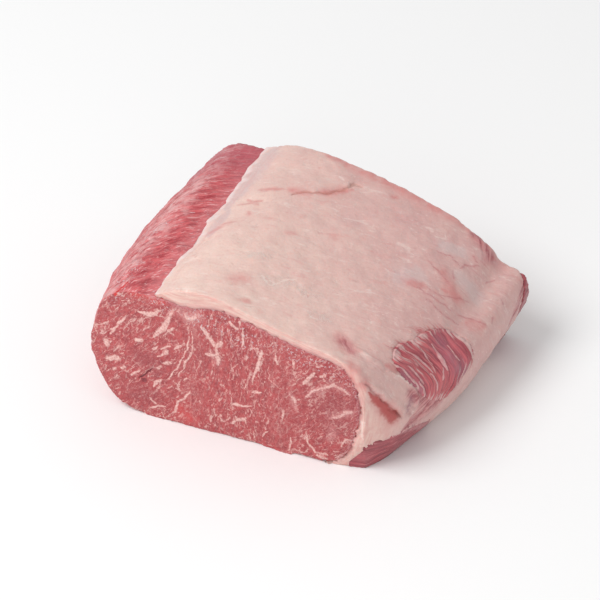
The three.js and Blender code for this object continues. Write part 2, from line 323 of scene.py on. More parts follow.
class StriploinColours(bpy.types.PropertyGroup):
    """The colours of the meat."""

    lean: paint("Lean", "Lean on the cut faces", (0.45, 0.052, 0.058))
    lean_deep: paint("Deep lean", "Darker lean between the grains", (0.27, 0.024, 0.033))
    lean_pale: paint("Pale lean", "Lean with fine fat in it", (0.54, 0.15, 0.145))
    marbling: paint("Marbling", "Fat in the lean", (0.68, 0.345, 0.315))
    side: paint("Bare side", "Lean on the bare side", (0.66, 0.12, 0.13))
    side_deep: paint("Deep bare side", "Darker fibres of the bare side", (0.36, 0.03, 0.042))
    film: paint("Film", "Pale film over the lean", (0.78, 0.43, 0.42))
    fat: paint("Fat", "The fat cap", (0.82, 0.60, 0.52))
    # Pink fat, which also carries painted shade: the fat turns to it towards the far right.
    fat_pink_and_shade: paint("Pink fat", "Pinker fat", (0.64, 0.37, 0.35))
    fat_pale: paint("Pale fat", "Flakes and edges of the fat", (0.90, 0.76, 0.70))
    blush: paint("Blush", "Soft pink patches of the fat", (0.62, 0.20, 0.19))
    blood: paint("Blood", "Stains of the fat", (0.44, 0.055, 0.05))
    vein: paint("Vein", "Thin veins in the fat", (0.50, 0.15, 0.16))
    silverskin: paint("Silverskin", "Grey film on the fat", (0.66, 0.475, 0.455))
    muscle: paint("Dark muscle", "The flank muscle", (0.42, 0.075, 0.09))
    muscle_deep: paint("Deep dark muscle", "Darker fibres of the flank muscle", (0.20, 0.025, 0.038))
    streaky: paint("Streaky muscle", "The side muscle", (0.64, 0.14, 0.15))
    streaky_deep: paint("Deep streaky muscle", "Darker fibres of the side muscle", (0.33, 0.05, 0.07))


class StriploinSizes(bpy.types.PropertyGroup):
    """How finely the meat is modelled, and how deep its relief is."""

    lean_mesh: length("Lean mesh", "Coarse mesh of the lean", 2.4)
    fat_mesh: length("Fat mesh", "Coarse mesh of the fat", 1.8)
    muscle_mesh: length("Muscle mesh", "Coarse mesh of the small muscles", 0.9)
    grain: length("Grain", "Relief of the cut faces", 0.16)
    fibre: length("Fibre", "Relief of the bare side's fibres", 0.55)
    melting: IntProperty(name="Melting", description="Rounds of smoothing that melt the facets", default=14)


class StriploinStudio(bpy.types.PropertyGroup):
    """The light and the camera."""

    daylight: FloatProperty(name="Daylight", description="Strength of the even light all round", default=0.60)
    key: FloatProperty(name="Key light", description="Power of the large soft light, in watts", default=52.0)
    fill: FloatProperty(name="Fill light", description="Power of the light on the near face", default=2.2)
    lens: FloatProperty(name="Lens", description="Focal length in millimetres", default=150)
    azimuth: FloatProperty(name="Azimuth", description="Camera's turn to the right", subtype="ANGLE",
                           default=math.radians(26.5))
    elevation: FloatProperty(name="Elevation", description="Camera's height angle", subtype="ANGLE",
                             default=math.radians(36.5))
    distance: length("Distance", "Camera's distance", 1552)
    target: FloatVectorProperty(name="Target", description="What the camera looks at", unit="LENGTH",
                                default=(0.00005, 0.00722, 0.04393))


# ---------------------------------------------------------------- modelling

WELD = 0.01 * MM  # points of a packed node closer than this are one


def only(obj):
    """Selects obj and nothing else."""
    bpy.ops.object.select_all(action="DESELECT")
    obj.select_set(True)
    bpy.context.view_layer.objects.active = obj


def apply(obj, kind, **settings):
    """Puts a modifier on obj and applies it."""
    modifier = obj.modifiers.new(kind.title(), kind)
    for name, value in settings.items():
        setattr(modifier, name, value)
    only(obj)
    bpy.ops.object.modifier_apply(modifier=modifier.name)


def copy_of(node, name):
    """A merged copy of a packed node, as a new object."""
    obj = bpy.data.objects.new(name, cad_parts[node].data.copy())
    bpy.context.scene.collection.objects.link(obj)
    obj.data.materials.clear()
    only(obj)
    bpy.ops.object.mode_set(mode="EDIT")
    bpy.ops.mesh.select_all(action="SELECT")
    bpy.ops.mesh.remove_doubles(threshold=WELD)
    bpy.ops.object.mode_set(mode="OBJECT")
    return obj


def points_of(obj):
    """Vertices in millimetres, and their normals."""
    mesh = obj.data
    places, normals = np.empty((2, len(mesh.vertices) * 3))
    mesh.vertices.foreach_get("co", places)
    mesh.vertex_normals.foreach_get("vector", normals)
    return places.reshape(-1, 3) / MM, normals.reshape(-1, 3)


def move_points(obj, places):
    """Puts the vertices at places, in millimetres, and none below the ground."""
    places = places.copy()
    places[:, 2] = np.maximum(places[:, 2], 0)
    obj.data.vertices.foreach_set("co", (places * MM).ravel())
    obj.data.update()


def raise_surface(obj, heights):
    """Moves the vertices out along their normals, by millimetres."""
    places, normals = points_of(obj)
    move_points(obj, places + normals * heights[:, None])


def raise_from(obj, core, places, normals, heights, turn):
    """Moves the vertices away from core's x and z, by millimetres, where the normal they had turned to it
    by more than about turn. Places and normals are those from before the edges were sunk in."""
    outwards = (places - core) * (1, 0, 1)
    outwards /= np.linalg.norm(outwards, axis=1)[:, None]
    heights = heights * smoothstep(0.0, turn, (normals * outwards).sum(1))
    move_points(obj, points_of(obj)[0] + outwards * heights[:, None])


def smoothstep(low, high, value):
    share = np.clip((value - low) / (high - low), 0, 1)
    return share * share * (3 - 2 * share)


def smooth(obj, weights, rounds):
    """Smooths the mesh where the weights say so."""
    group = obj.vertex_groups.new(name="smoothed")
    for index, weight in enumerate(weights.tolist()):
        if weight > 0:
            group.add([index], weight, "REPLACE")
    apply(obj, "SMOOTH", factor=0.5, iterations=rounds, vertex_group="smoothed")
    obj.vertex_groups.clear()


SHARP = math.radians(38)  # an edge of a packed node that bends by more is a rim
RIM_STEP = 0.25 * MM


def sharp_edges(node):
    """Points all along the sharp edges of a packed node, to ask for the nearest."""
    mesh = bmesh.new()
    mesh.from_mesh(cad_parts[node].data)
    bmesh.ops.remove_doubles(mesh, verts=mesh.verts, dist=WELD)
    spots = []
    for edge in mesh.edges:
        if edge.is_manifold and edge.calc_face_angle() > SHARP:
            start, end = (v.co for v in edge.verts)
            count = int((end - start).length / RIM_STEP) + 2
            spots += [start.lerp(end, step / (count - 1)) for step in range(count)]
    mesh.free()
    tree = KDTree(len(spots))
    for index, spot in enumerate(spots):
        tree.insert(spot, index)
    tree.balance()
    return tree


def subdivide(obj, chosen):
    """Halves the edges of the faces for which chosen(centres, normals) holds."""
    mesh = obj.data
    centres, normals = np.empty((2, len(mesh.polygons) * 3))
    mesh.polygons.foreach_get("center", centres)
    mesh.polygon_normals.foreach_get("vector", normals)
    picked = chosen(centres.reshape(-1, 3) / MM, normals.reshape(-1, 3))
    only(obj)
    bpy.ops.object.mode_set(mode="EDIT")
    bpy.ops.mesh.select_mode(type="FACE")
    bpy.ops.mesh.select_all(action="DESELECT")
    bpy.ops.object.mode_set(mode="OBJECT")
    mesh.polygons.foreach_set("select", picked)
    bpy.ops.object.mode_set(mode="EDIT")
    bpy.ops.mesh.subdivide(number_cuts=1)
    bpy.ops.mesh.select_all(action="DESELECT")
    bpy.ops.object.mode_set(mode="OBJECT")


def base_mesh(node, name, cell, melting, keep=3.0):
    """A copy of the node with an even mesh of cell, its facets melted, and its rims kept as they are over
    about keep millimetres."""
    obj = copy_of(node, name)
    apply(obj, "REMESH", mode="VOXEL", voxel_size=cell, use_smooth_shade=True)
    apply(obj, "SHRINKWRAP", target=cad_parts[node], wrap_method="NEAREST_SURFACEPOINT")
    edges = sharp_edges(node)
    nearest = [edges.find(v.co) for v in obj.data.vertices]
    for vertex, (spot, _, distance) in zip(obj.data.vertices, nearest):
        if distance < 0.5 * cell:
            vertex.co = spot
    smooth(obj, smoothstep(0.4, keep, np.array([distance / MM for _, _, distance in nearest])), melting)
    return obj


def round_off(obj, others, rounds):
    """Rounds the mesh, but not where it meets another node."""
    smooth(obj, smoothstep(0.5, 2.0, gaps_to(others, points_of(obj)[0])), rounds)


SINK_REACH = 0.8 * MM  # what is closer to a neighbour lies against it


def sink_into(obj, surfaces, overlap):
    """Moves what lies against the surfaces a little way into them, so that no gap shows."""
    for vertex in obj.data.vertices:
        for surface in surfaces:
            spot, _, _, distance = surface.find_nearest(vertex.co)
            if 0 < distance < SINK_REACH:
                vertex.co += (spot - vertex.co) * (1 + overlap * MM / distance)
                break


def surface_of(obj):
    """The surface of obj, to ask for nearest points and hits."""
    mesh = obj.data
    return BVHTree.FromPolygons([v.co for v in mesh.vertices], [list(p.vertices) for p in mesh.polygons])


def gaps_to(surfaces, places):
    """How far the places are from the nearest of the surfaces, in millimetres."""
    spots = [Vector(place) * MM for place in places.tolist()]
    return np.array([min(surface.find_nearest(spot)[3] for surface in surfaces) / MM for spot in spots])


def ripple(points, size, seed):
    """Noise about 0, mostly within 0.5, that changes over about size millimetres along each axis."""
    spots = points / np.asarray(size, float) + seed
    return np.array([noise.fractal(Vector(spot), 0.8, 2.0, 3) for spot in spots.tolist()])


MARK_REACH = 7.0  # mm above or below a mark at which it still counts
LONG_MARK = 2.5  # times its width: a longer mark tapers
TAPER = 0.35  # what is left of its width at its ends


def nearness(points, normals, marks):
    """1 in the middle of the marks and a half at their edges. A mark is its width, or its widths at both
    ends, and its points. It counts only on the surface that it lies on, and long marks taper."""
    found = np.zeros(len(points))
    for width, line in marks:
        line, widths = np.array(line, float), np.broadcast_to(np.array(width, float), 2)
        steps = np.linalg.norm(np.diff(line, axis=0), axis=1)
        room = 2 * widths.max() + 2
        inside = np.all((points > line.min(0) - room) & (points < line.max(0) + room), axis=1)
        near, facing = points[inside], normals[inside]
        best = np.full(len(near), np.inf)
        for start, end, step, before in zip(line[:-1], line[1:], steps, np.cumsum(steps) - steps):
            along = end - start
            share = np.clip((near - start) @ along / (along @ along), 0, 1)
            gap = near - start - share[:, None] * along
            depth = (gap * facing).sum(1)
            flat = np.linalg.norm(gap - facing * depth[:, None], axis=1)
            run = (before + share * step) / steps.sum()
            half = (widths[0] + (widths[1] - widths[0]) * run) / 2
            if steps.sum() > LONG_MARK * widths.max():
                half = half * (TAPER + (1 - TAPER) * np.minimum(1, 4 * np.minimum(run, 1 - run)) ** 0.7)
            best = np.minimum(best, np.where(np.abs(depth) < MARK_REACH, flat / half, np.inf))
        found[inside] = np.maximum(found[inside], np.exp2(-(best**2)))
    return found


def wander(points, size, amount, seed=0.0):
    """The points, each pushed aside by up to about amount, in waves of about size millimetres."""
    spots = (points / size + seed).tolist()
    return points + amount * np.array([noise.noise_vector(Vector(spot)) for spot in spots])


def face_nearness(points, normals, marks, far=False):
    """As nearness, for marks of [x, z] on the near cut face or, shifted, on the far one."""
    shift = np.array(FAR_SHIFT if far else (0, 0), float)
    flat = points[:, [0, 2]] - shift
    on_face = normals[:, 1] > 0.5 if far else normals[:, 1] < -0.5
    return nearness(flat, np.zeros_like(flat), marks) * on_face


def store(obj, **layers):
    """Keeps the named values of each vertex as float attributes for the material."""
    for name, values in layers.items():
        layer = obj.data.attributes.new(name, "FLOAT", "POINT")
        layer.data.foreach_set("value", np.asarray(values, np.float32))


# ---------------------------------------------------------------- node trees


class Value:
    """An output in a node tree. Sums, products and the like of it make Math nodes."""

    def __init__(self, nodes, socket):
        self.nodes, self.socket = nodes, socket

    def __add__(self, other):
        return self.nodes.math("ADD", self, other)

    def __sub__(self, other):
        return self.nodes.math("SUBTRACT", self, other)

    def __rsub__(self, other):
        return self.nodes.math("SUBTRACT", other, self)

    def __mul__(self, other):
        return self.nodes.math("MULTIPLY", self, other)

    def __truediv__(self, other):
        return self.nodes.math("DIVIDE", self, other)

    def __pow__(self, other):
        return self.nodes.math("POWER", self, other)

    def __abs__(self):
        return self.nodes.math("ABSOLUTE", self)

    def step(self, low, high, bottom=0.0, top=1.0):
        """Goes smoothly from bottom to top as this value goes from low to high."""
        values = {"Value": self, "From Min": low, "From Max": high, "To Min": bottom, "To Max": top}
        return self.nodes.output(0, "MapRange", values, interpolation_type="SMOOTHSTEP")


class Nodes:
    """Places nodes in one tree. What an input is given is a Value or a plain value."""

    def __init__(self, tree):
        self.tree = tree

    def add(self, kind, values=(), **settings):
        made = self.tree.nodes.new(kind if kind.startswith("Node") else "ShaderNode" + kind)
        for name, value in settings.items():
            setattr(made, name, value)
        for name, value in dict(values).items():
            self.feed(made.inputs[name], value)
        return made

    def output(self, name, kind, values=(), **settings):
        """The output of that name or number of a new node."""
        return Value(self, self.add(kind, values, **settings).outputs[name])

    def feed(self, socket, value):
        if isinstance(value, Value):
            self.tree.links.new(value.socket, socket)
        elif socket.type == "RGBA":
            socket.default_value = (*value, 1)
        else:
            socket.default_value = value

    def math(self, operation, *values):
        return self.output(0, "Math", enumerate(values), operation=operation)

    def vector(self, operation, *values):
        return self.output(0, "VectorMath", enumerate(values), operation=operation)

    def mix(self, share, low, high):
        return self.output(2, "Mix", {0: share, 6: low, 7: high}, data_type="RGBA")

    def blend(self, share, low, high):
        return self.output(0, "Mix", {0: share, 2: low, 3: high}, data_type="FLOAT")

    def paint(self, colour, layers):
        """The colour under layers, each a mask and the layer's own colour."""
        for mask, shade in layers:
            colour = self.mix(mask, colour, shade)
        return colour

    def noise(self, vector, scale, detail=2.0, roughness=0.5, distortion=0.0):
        values = {"Vector": vector, "Scale": scale, "Detail": detail, "Roughness": roughness,
                  "Distortion": distortion}
        return self.output("Fac", "TexNoise", values)

    def stretched(self, vector, sizes, *settings):
        """Noise that changes over those sizes along the three axes."""
        return self.noise(self.vector("DIVIDE", vector, sizes), 1.0, *settings)

    def attribute(self, name):
        return self.output("Fac", "Attribute", attribute_name=name)

    def place(self):
        """The place on the piece, in millimetres, and its x, y and z."""
        coordinates = self.output("Object", "TexCoord")
        place = self.output(0, "VectorMath", {0: coordinates, "Scale": 1 / MM}, operation="SCALE")
        split = self.add("SeparateXYZ", {0: place})
        return place, *(Value(self, socket) for socket in split.outputs)

    def turned(self, vector, angle, axis):
        return self.output(0, "VectorRotate", {"Vector": vector, "Angle": angle}, rotation_type=axis)

    def joined(self, x, y, z):
        return self.output(0, "CombineXYZ", enumerate((x, y, z)))


def built_once(name, output, **inputs):
    """Makes a function that lays out nodes into one that adds them to a tree as a node group, which is built
    once. The inputs come with their defaults, in the order of the function's own; None marks a vector."""

    def decorate(lay_out):
        def build():
            tree = bpy.data.node_groups.new(name, "ShaderNodeTree")
            for title, default in inputs.items():
                kind = "NodeSocketVector" if default is None else "NodeSocketFloat"
                socket = tree.interface.new_socket(title.title(), in_out="INPUT", socket_type=kind)
                if default is not None:
                    socket.default_value = default
            tree.interface.new_socket(output, in_out="OUTPUT", socket_type="NodeSocketFloat")
            nodes = Nodes(tree)
            given = nodes.add("NodeGroupInput").outputs
            result = lay_out(nodes, *(Value(nodes, given[title.title()]) for title in inputs))
            nodes.add("NodeGroupOutput", {0: result})
            return tree

        def add_to(nodes, *values, **named):
            tree = bpy.data.node_groups.get(name) or build()
            given = {**dict(zip(inputs, values)), **named}
            return nodes.output(0, "Group", {title.title(): value for title, value in given.items()},
                                node_tree=tree)

        add_to.__doc__ = lay_out.__doc__
        return add_to

    return decorate


def in_cells(nodes, place, angle, sizes, seed):
    """The place turned to the grain, in cells of those sizes, and shifted by the seed."""
    cells = nodes.vector("DIVIDE", nodes.turned(place, angle, "Y_AXIS"), nodes.joined(*sizes))
    return nodes.vector("ADD", cells, nodes.joined(seed, 0.0, 0.0))


@built_once("Streaks", "Mask", place=None, angle=0.0, width=1.0, length=4.0, seed=0.0, low=0.6, high=0.67)
def streaks(nodes, place, angle, width, length, seed, low, high):
    """Streaks along the grain, from low to high of a noise. Angle turns the grain in the cut face's plane."""
    spot = in_cells(nodes, place, angle, (width, width, length), seed)
    return nodes.noise(spot, 1.0, 2.4, 0.6, 0.8).step(low, high)


@built_once("Veins", "Mask", place=None, angle=0.0, width=4.0, length=8.0, seed=0.0, thickness=0.08,
            cover=0.5)
def veins(nodes, place, angle, width, length, seed, thickness, cover):
    """A net of veins between cells that are stretched along the grain. Only parts of the net show."""
    spot = in_cells(nodes, place, angle, (width, length, length), seed)
    warp = nodes.output("Color", "TexNoise", {"Vector": spot, "Scale": 1.3, "Detail": 3.0, "Roughness": 0.6})
    push = nodes.vector("SUBTRACT", warp, [0.5] * 3)
    spot = nodes.vector("ADD", spot, nodes.vector("MULTIPLY", push, [0.9] * 3))
    edge = nodes.output("Distance", "TexVoronoi", {"Vector": spot, "Scale": 1.0}, feature="DISTANCE_TO_EDGE")
    shown = nodes.noise(nodes.vector("ADD", spot, (7.0, 3.0, 5.0)), 0.9, 3.0, 0.65)
    reach = thickness * shown.step(cover, cover + 0.16)
    return (edge / nodes.math("MAXIMUM", reach, 0.0001)).step(1.0, 0.4) * reach.step(0.0, 0.02)


@built_once("Threads", "Value", across=0.0, along=0.0, width=1.0, length=10.0, seed=0.0)
def threads(nodes, across, along, width, length, seed):
    """A noise in threads that run along and lie side by side across."""
    return nodes.noise(nodes.joined(across / width, along / length, seed), 1.0, 3.0, 0.6, 0.5)


@built_once("Mottle", "Value", place=None, size=5.0, contrast=2.0)
def mottle(nodes, place, size, contrast):
    """Soft uneven patches of about that size."""
    value = nodes.stretched(place, nodes.joined(size, size, size), 3.0, 0.55)
    return nodes.output(0, "Clamp", {0: (value - 0.5) * contrast + 0.5})


@built_once("Ragged edge", "Mask", value=0.0, place=None, size=1.0, amount=0.6, softness=0.12)
def ragged_group(nodes, value, place, size, amount, softness):
    """A mask with an uneven edge from a value that falls off from 1."""
    push = nodes.stretched(place, nodes.joined(size, size, size), 2.0, 0.6) - 0.5
    return (value + push * amount).step(0.5 - softness, softness + 0.5)


@built_once("Frayed edge", "Mask", across=0.0, along=0.0, reach=0.0)
def frayed(nodes, across, along, reach):
    """Fat that ends in fingers over the side muscle, from a reach of 0.9 at their border: less over the
    muscle, more over the fat."""
    strands = threads(nodes, across, along, width=1.9, length=22.0, seed=3.0)
    return (reach + (strands - 0.5) * 2.6).step(0.60, 0.98)


def ragged(nodes, name, *settings):
    """The marks of that name with ragged edges. Place, size, amount and softness follow."""
    return ragged_group(nodes, nodes.attribute(name), *settings)


# How light goes into the meat: weight, scale and radius.
LEAN_GLOW = (0.06, 1.2 * MM, (1.0, 0.3, 0.25))
FAT_GLOW = (0.2, 2.5 * MM, (1.0, 0.5, 0.4))
STRAND_GLOW = (0.2, 1.5 * MM, (1.0, 0.5, 0.4))


def new_material(name):
    """A material with a Principled shader, and its node tree."""
    material = bpy.data.materials.new(name)
    material.use_nodes = True
    nodes = Nodes(material.node_tree)
    shader = next(n for n in material.node_tree.nodes if n.type == "BSDF_PRINCIPLED")
    return material, nodes, shader


def set_surface(nodes, shader, colour, roughness, height, bump, glow, coat):
    """Sets the shader. Bump is strength and millimetres, coat the weight and roughness of the moist film."""
    strength, distance = bump
    normal = nodes.output(0, "Bump", {"Strength": strength, "Distance": distance * MM, "Height": height})
    names = ("Base Color", "Roughness", "Normal", "Subsurface Weight", "Subsurface Scale",
             "Subsurface Radius", "Coat Weight", "Coat Roughness")
    for name, value in zip(names, (colour, roughness, normal, *glow, *coat)):
        nodes.feed(shader.inputs[name], value)


GRAINS = (49, 82)  # directions of the grain in the cut face: on both sides, and in the middle
LOBE_DARK = (0.29, 0.035, 0.045)
LEAN_BRIGHT = (0.60, 0.05, 0.05)
STREAK_DARK = (0.25, 0.02, 0.03)
VEIL = (0.62, 0.28, 0.27)
MARBLING_PALE = (0.80, 0.52, 0.47)
CLEFT_SHADE = (0.20, 0.02, 0.03)
FACE_BRIM = (0.50, 0.20, 0.22)


def marbled(nodes, place, x, colours):
    """Colour and fat mask of a cut face of the lean."""
    middle = x.step(-38.0, -14.0) * x.step(50.0, 18.0)

    def grained(group, width, length, seed, *settings):
        """The group along the grain, which has one direction at the sides and another in the middle."""
        parts = [group(nodes, place, math.radians(angle - 90), width, length, seed + angle, *settings)
                 for angle in GRAINS]
        return nodes.blend(middle, *parts)

    patches = mottle(nodes, place, 11.0, 2.4)
    grains = mottle(nodes, place, 1.2, 3.4)
    rarer = (0.5 - patches) * 0.045
    tone = grained(streaks, 2.8, 8.0, 1.0, 0.36, 0.66)
    coarse = grained(streaks, 3.0, 8.5, 3.0, rarer + 0.612, rarer + 0.68)
    medium = grained(streaks, 1.7, 4.8, 17.0, rarer + 0.575, rarer + 0.67)
    fine = grained(streaks, 1.1, 2.6, 31.0, 0.55, 0.66)
    dark = grained(streaks, 2.0, 7.0, 47.0, 0.42, 0.30)
    wide_net = grained(veins, 7.5, 13.0, 61.0, 0.085, rarer + 0.50)
    fine_net = grained(veins, 3.2, 6.0, 83.0, 0.10, rarer + 0.47)
    pale = coarse
    for other in (medium * 0.75, wide_net * 0.9, fine_net * 0.5):
        pale = nodes.math("MAXIMUM", pale, other)
    lobe = nodes.attribute("lobe")
    pale = pale * 0.85 * (1.0 - lobe * 0.4)
    fat = ragged(nodes, "fleck", place, 1.6, 0.9, 0.28)
    mask = nodes.math("MAXIMUM", pale, fat) * grains.step(0.0, 0.6, 0.7, 1.0) * lobe.step(0.0, 1.0, 1.0, 0.75)
    brim = nodes.attribute("gap").step(2.6, 0.4) * grains.step(0.1, 0.7)
    colour = nodes.paint(nodes.mix(tone, colours.lean_deep, colours.lean), [
        (patches * 0.5, colours.lean),
        (lobe * 0.9, LOBE_DARK),
        (nodes.attribute("bright") * 0.75, LEAN_BRIGHT),
        (dark * 0.6, STREAK_DARK),
        (grains * 0.38, colours.lean_pale),
        (fine * 0.6, colours.lean_pale),
        (nodes.attribute("veil") * grains.step(0.0, 1.0, 0.35, 0.85), VEIL),
        (mask, nodes.mix(grains, colours.marbling, MARBLING_PALE)),
        # Painted shade in the clefts.
        (ragged(nodes, "deep", place, 1.0, 0.6) * 0.8, CLEFT_SHADE),
        (brim * 0.6, FACE_BRIM),
    ])
    return colour, mask


FIBRE = 0.9  # mm across


def fibrous(nodes, across, along, length, deep, base, pale, share):
    """Colour of muscle seen along its fibres, with a share of pale ones, and the fibres' relief."""
    layers = [(4.5, 1.8, 0.0), (1.0, 1.0, 7.0), (0.8, 0.7, 19.0)]  # wider, longer, seed
    broad, thin, fair = (threads(nodes, across, along, FIBRE * wider, length * longer, seed)
                         for wider, longer, seed in layers)
    value = broad * 0.5 + thin * 0.5
    fair = nodes.blend(0.25, fair, broad).step(0.54, 0.64) * share
    colour = nodes.mix(fair, nodes.mix(value.step(0.38, 0.60), deep, base), pale)
    return colour, value + fair * 0.3


SIDE_FAIR = (0.85, 0.54, 0.53)
SIDE_BRIM = (0.70, 0.28, 0.29)
SIDE_FAR = (0.42, 0.08, 0.11)
GASH_RED = (0.60, 0.012, 0.01)
# Painted highlights of the lean: shine along the fibres and glints at wet grains.
SHINE = (0.84, 0.66, 0.68)
GLINT = (0.62, 0.52, 0.54)


def lean_material(colours):
    material, nodes, shader = new_material("Marbled lean")
    place, x, y, _ = nodes.place()
    face, fat = marbled(nodes, place, x, colours)
    patches = mottle(nodes, place, 6.0, 2.8)
    across, film = nodes.attribute("across"), nodes.attribute("film")
    side, fibres = fibrous(nodes, across, y, 5.5, colours.side_deep, colours.side, SIDE_FAIR,
                           patches * 0.45 + film * 0.3 + 0.45)
    veil = film * nodes.blend(0.5, patches, fibres).step(0.2, 0.7)
    cut = ragged(nodes, "cut", place, 3.0, 0.7, 0.3)
    # Shine and glint are painted highlights in the colour; the glints also lower the roughness.
    shine = threads(nodes, across, y, 0.8, 3.2, 29.0).step(0.62, 0.70) * patches.step(0.2, 0.8, 0.3, 1.0)
    sparkle = nodes.noise(place, 0.75, 2.0, 0.7).step(0.58, 0.66)
    glint = sparkle * nodes.attribute("glint").step(0.0, 0.7, 0.16, 1.0)
    colour = nodes.paint(side, [
        (veil * 0.75, colours.film),
        (nodes.attribute("gap").step(13.0, 0.0) * 0.35, SIDE_BRIM),
        (nodes.attribute("far") * 0.6, SIDE_FAR),
        (cut, face),
        (ragged(nodes, "gash", place, 1.6, 0.5), GASH_RED),
        (shine * (1.0 - cut) * 0.75, SHINE),
        (glint * 0.8, GLINT),
    ])
    roughness = mottle(nodes, place, 4.0, 2.0).step(0.0, 1.0, 0.36, 0.58) - glint * 0.2
    height = nodes.noise(place, 0.9, 3.0, 0.6) * 0.8 + fibres * (1.3 - cut) + fat * 0.25
    set_surface(nodes, shader, colour, roughness, height, (0.7, 0.35), LEAN_GLOW, (0.10, 0.22))
    return material


FAT_LIGHT, FAT_DUSKY = (0.86, 0.68, 0.61), (0.62, 0.33, 0.31)
WISP_RED, WISP_PALE = (0.70, 0.34, 0.31), (0.86, 0.72, 0.66)
STRING_RED, STRING_PALE = (0.60, 0.24, 0.24), (0.82, 0.64, 0.61)
CUT_FAT, CUT_FAT_ROWS = (0.76, 0.53, 0.46), (0.68, 0.35, 0.31)
FAT_BRIM = (0.66, 0.29, 0.29)
WEDGE_LAYERS = (0.68, 0.36, 0.34)
RIM_GREY = (0.83, 0.69, 0.68)
FAINT_LINE = (0.60, 0.30, 0.27)
CREASE_BROWN = (0.50, 0.22, 0.15)
# Folds of red-purple tissue: the deep colour lies in the pleats' hollows as painted shade, the pink on their
# crests.
PLEAT_HOLLOW_SHADE, PLEAT_PINK = (0.34, 0.06, 0.08), (0.62, 0.27, 0.27)
DIMPLE_PURPLE = (0.36, 0.15, 0.19)
STAIN_EDGE, STAIN_CORE = (0.62, 0.27, 0.25), (0.32, 0.035, 0.03)
SHOWING_RED, SHOWING_PINK = (0.52, 0.11, 0.12), (0.62, 0.24, 0.24)


